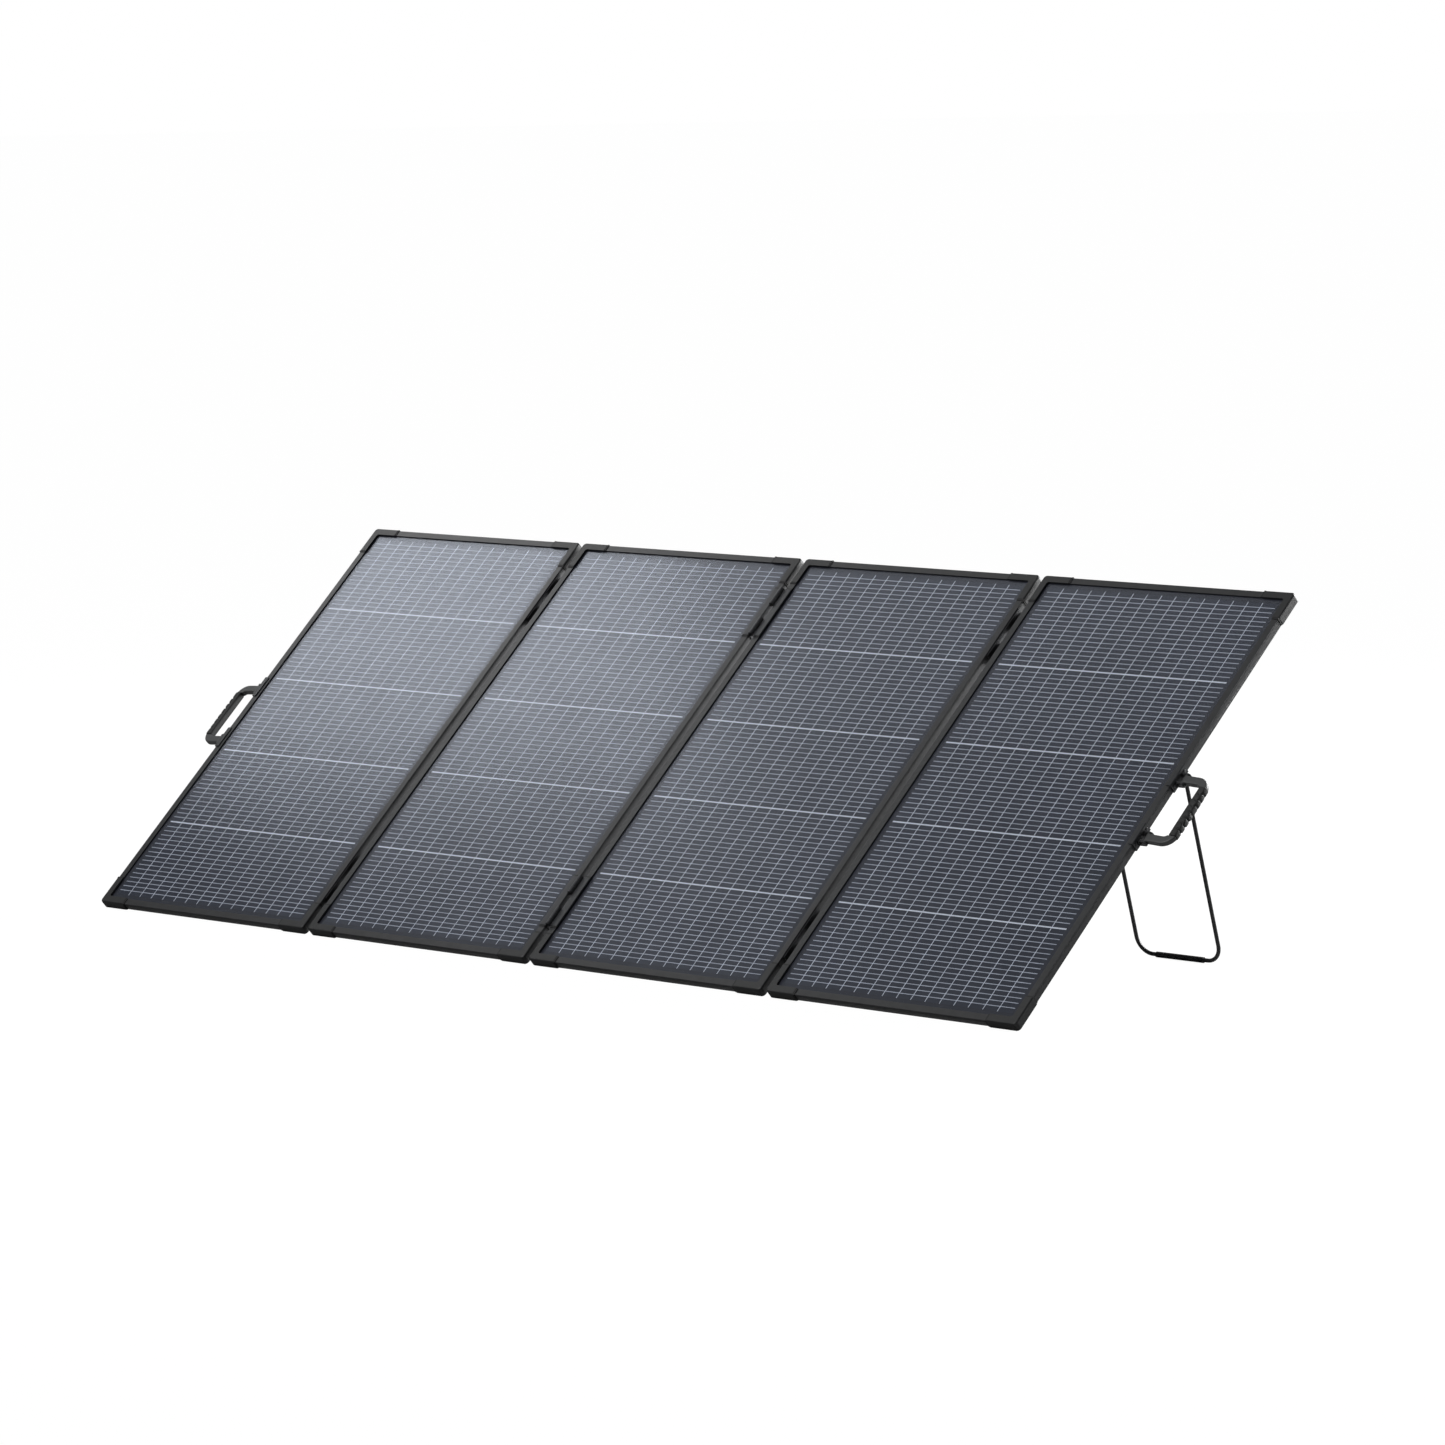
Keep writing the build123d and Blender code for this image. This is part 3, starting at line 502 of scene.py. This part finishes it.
def notch_depth(along, across):
    """Depth of the crescent notches: across is 0 in the middle of a face and 1 on the outside."""
    depth = 0.0
    reach = max(0.0, across)
    for index in range(RIDGES):
        rank = index - (RIDGES - 1) / 2
        side = 1.0 if rank > 0.0 else -1.0
        middle = rank * RIDGE_PITCH - side * NOTCH_BEND * (math.sin(math.pi * reach) - 0.5)
        offset = (along - middle) * side
        width = NOTCH_W if offset < 0.0 else NOTCH_TAIL * NOTCH_W
        depth = max(depth, math.exp(-(offset / width) ** 2))
    return NOTCH_DEPTH * depth * smooth_step(*NOTCH_FADE, across)


def grip_point(along, angle):
    """Point of the grip's skin, as distances outwards, up the grip and out of its front."""
    end = max(0.0, abs(along) - (GRIP_LENGTH / 2 - GRIP_END)) / GRIP_END
    shrink = GRIP_END * (1.0 - math.sqrt(max(0.0, 1.0 - end * end)))
    cosine, sine = math.cos(angle), math.sin(angle)
    outwards = math.copysign(abs(cosine) ** (2 / SQUARENESS), cosine)
    upwards = math.copysign(abs(sine) ** (2 / SQUARENESS), sine)
    depth = notch_depth(along, outwards) + shrink
    crown = GRIP_CROWN * (1.0 - (2 * along / GRIP_LENGTH) ** 2) * max(0.0, outwards)
    return (outwards * (GRIP_W / 2 - depth) + crown, along, upwards * (GRIP_T / 2 - depth))


def make_grip(end):
    """Moulded grip with crescent notches round its outer half."""
    bm = bmesh.new()
    rings = []
    for step in range(RINGS + 1):
        along = GRIP_LENGTH * (step / RINGS - 0.5)
        rings.append([bm.verts.new(grip_point(along, 2 * math.pi * index / RING_POINTS))
                      for index in range(RING_POINTS)])
    for ring, after in zip(rings, rings[1:]):
        for index in range(RING_POINTS):
            beside = (index + 1) % RING_POINTS
            bm.faces.new((ring[index], ring[beside], after[beside], after[index]))
    bm.faces.new(rings[0][::-1])
    bm.faces.new(rings[-1])
    side = -1.0 if end == 1 else 1.0
    outwards = side * math.cos(HANDLE_DROOP) * X_AXIS - math.sin(HANDLE_DROOP) * N_AXIS
    front = side * math.sin(HANDLE_DROOP) * X_AXIS + math.cos(HANDLE_DROOP) * N_AXIS
    origin = Vector(JOINTS[f"handle_swing_{end}"]["pos_m"]) + GRIP_OUT * outwards
    turn = Matrix((outwards, U_AXIS, front)).transposed().to_4x4()
    grip = new_object(f"grip_{end}", bm, Matrix.Translation(origin) @ turn, MATERIALS["grip"],
                      f"handle_{end}", smooth=True)
    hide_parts(f"handle_grip_{end}")


for number in ENDS:
    make_grip(number)


# ---------------------------------------------------------------- floor, light and camera

FLOOR_RADIUS = 60.0
FLOOR_SIDES = 96
FLOOR_BOUNCE = (0.30, 0.30, 0.30, 1.0)     # colour that the object is lit by
FLOOR_SHARE = (0.08, 0.08, 0.08, 1.0)      # colour that takes the object's shadow in the picture
FLOOR_GLOW = 0.96
WORLD_COLOR = (0.92, 0.96, 1.0, 1.0)
WORLD_LIGHT = 0.05
KEY_FROM = Vector((-0.25, -0.62, 0.80))
KEY_LIGHT = 1.5
KEY_SPREAD = 25.0
BACK_FROM = (1.3, 2.5, 1.3)
BACK_AT = (0.1, 0.3, 0.3)
BACK_SIZE = (2.2, 1.6)
BACK_POWER = 170.0
# Soft boxes: row coordinates of the spot that reflects each, distance, side and power.
SOFT_BOXES = (((-1.20, 0.60), 2.4, 1.2, 12.0), ((0.30, 1.00), 3.4, 1.4, 3.2))

VIEW_AZIMUTH = 44.595
VIEW_ELEVATION = 6.666
VIEW_ROLL = 1.074
VIEW_DISTANCE = 11.4427
VIEW_TARGET = Vector((-0.1204, 0.2459, 0.3485))
LENS = 160.88
SENSOR_W = 36.0
CLIP_END = 200.0


def seen_mix(tree, lit, seen, target):
    """Feed the first shader to every ray but the camera's, which gets the second."""
    path = add(tree, "ShaderNodeLightPath")
    mix = add(tree, "ShaderNodeMixShader")
    tree.links.new(path.outputs["Is Camera Ray"], mix.inputs[0])
    tree.links.new(lit, mix.inputs[1])
    tree.links.new(seen, mix.inputs[2])
    tree.links.new(mix.outputs[0], target)


def disc_floor():
    """Large pale floor that the object stands on."""
    bm = bmesh.new()
    bmesh.ops.create_circle(bm, cap_ends=True, segments=FLOOR_SIDES,
                            radius=FLOOR_RADIUS)
    mesh = bpy.data.meshes.new("floor")
    bm.to_mesh(mesh)
    bm.free()
    floor = bpy.data.objects.new("floor", mesh)
    floor.location = (0, 0, CAD_BOX[0][2])
    bpy.context.scene.collection.objects.link(floor)
    material, tree = new_material("floor_paper")
    output = add(tree, "ShaderNodeOutputMaterial")
    dim = add(tree, "ShaderNodeBsdfDiffuse", inputs={"Color": FLOOR_BOUNCE})
    paper = add(tree, "ShaderNodeBsdfDiffuse", inputs={"Color": FLOOR_SHARE})
    glow = add(tree, "ShaderNodeEmission", inputs={"Strength": FLOOR_GLOW})
    both = add(tree, "ShaderNodeAddShader")
    tree.links.new(paper.outputs[0], both.inputs[0])
    tree.links.new(glow.outputs[0], both.inputs[1])
    seen_mix(tree, dim.outputs[0], both.outputs[0], output.inputs[0])
    mesh.materials.append(material)


def area_light(name, position, target, size_x, size_y, power):
    """Rectangular lamp that faces a target."""
    lamp = bpy.data.lights.new(name, "AREA")
    lamp.shape = "RECTANGLE"
    lamp.size = size_x
    lamp.size_y = size_y
    lamp.energy = power
    holder = bpy.data.objects.new(name, lamp)
    holder.location = position
    aim = Vector(target) - Vector(position)
    holder.rotation_euler = aim.to_track_quat("-Z", "Y").to_euler()
    bpy.context.scene.collection.objects.link(holder)


def view_direction():
    """Unit vector from the target to the camera."""
    azimuth = math.radians(VIEW_AZIMUTH)
    elevation = math.radians(VIEW_ELEVATION)
    flat = math.cos(elevation)
    return Vector((math.sin(azimuth) * flat, -math.cos(azimuth) * flat, math.sin(elevation)))


def make_camera():
    """Long lens at the viewing angle, with a slight roll."""
    data = bpy.data.cameras.new("camera")
    data.lens = LENS
    data.sensor_width = SENSOR_W
    data.clip_end = CLIP_END
    camera = bpy.data.objects.new("camera", data)
    towards = view_direction()
    camera.location = VIEW_TARGET + VIEW_DISTANCE * towards
    turn = (-towards).to_track_quat("-Z", "Y")
    roll = Quaternion((0, 0, 1), -math.radians(VIEW_ROLL))
    camera.rotation_euler = (turn @ roll).to_euler()
    bpy.context.scene.collection.objects.link(camera)
    bpy.context.scene.camera = camera


def mirror_direction():
    """Where the front faces reflect the camera's view to."""
    towards = view_direction()
    return 2 * towards.dot(N_AXIS) * N_AXIS - towards


def make_light():
    """Soft key on the front faces, soft boxes that the film reflects, and a fill on the backs."""
    world = bpy.data.worlds.new("studio")
    world.use_nodes = True
    tree = world.node_tree
    tree.nodes.clear()
    output = add(tree, "ShaderNodeOutputWorld")
    dim = add(tree, "ShaderNodeBackground", inputs={"Color": WORLD_COLOR, "Strength": WORLD_LIGHT})
    white = add(tree, "ShaderNodeBackground", inputs={"Color": (1, 1, 1, 1), "Strength": 1.0})
    seen_mix(tree, dim.outputs[0], white.outputs[0], output.inputs[0])
    bpy.context.scene.world = world
    sun = bpy.data.lights.new("key", "SUN")
    sun.energy = KEY_LIGHT
    sun.angle = math.radians(KEY_SPREAD)
    holder = bpy.data.objects.new("key", sun)
    holder.rotation_euler = (-KEY_FROM).to_track_quat("-Z", "Y").to_euler()
    bpy.context.scene.collection.objects.link(holder)
    mirror = mirror_direction()
    for number, (spot, distance, size, power) in enumerate(SOFT_BOXES):
        corner = row_matrix(*spot, 0.0).translation
        area_light(f"sheen_{number}", corner + distance * mirror, corner, size, size, power)
    area_light("back_fill", BACK_FROM, BACK_AT, *BACK_SIZE, BACK_POWER)


disc_floor()
make_light()
make_camera()
bpy.context.scene.view_settings.view_transform = "Standard"
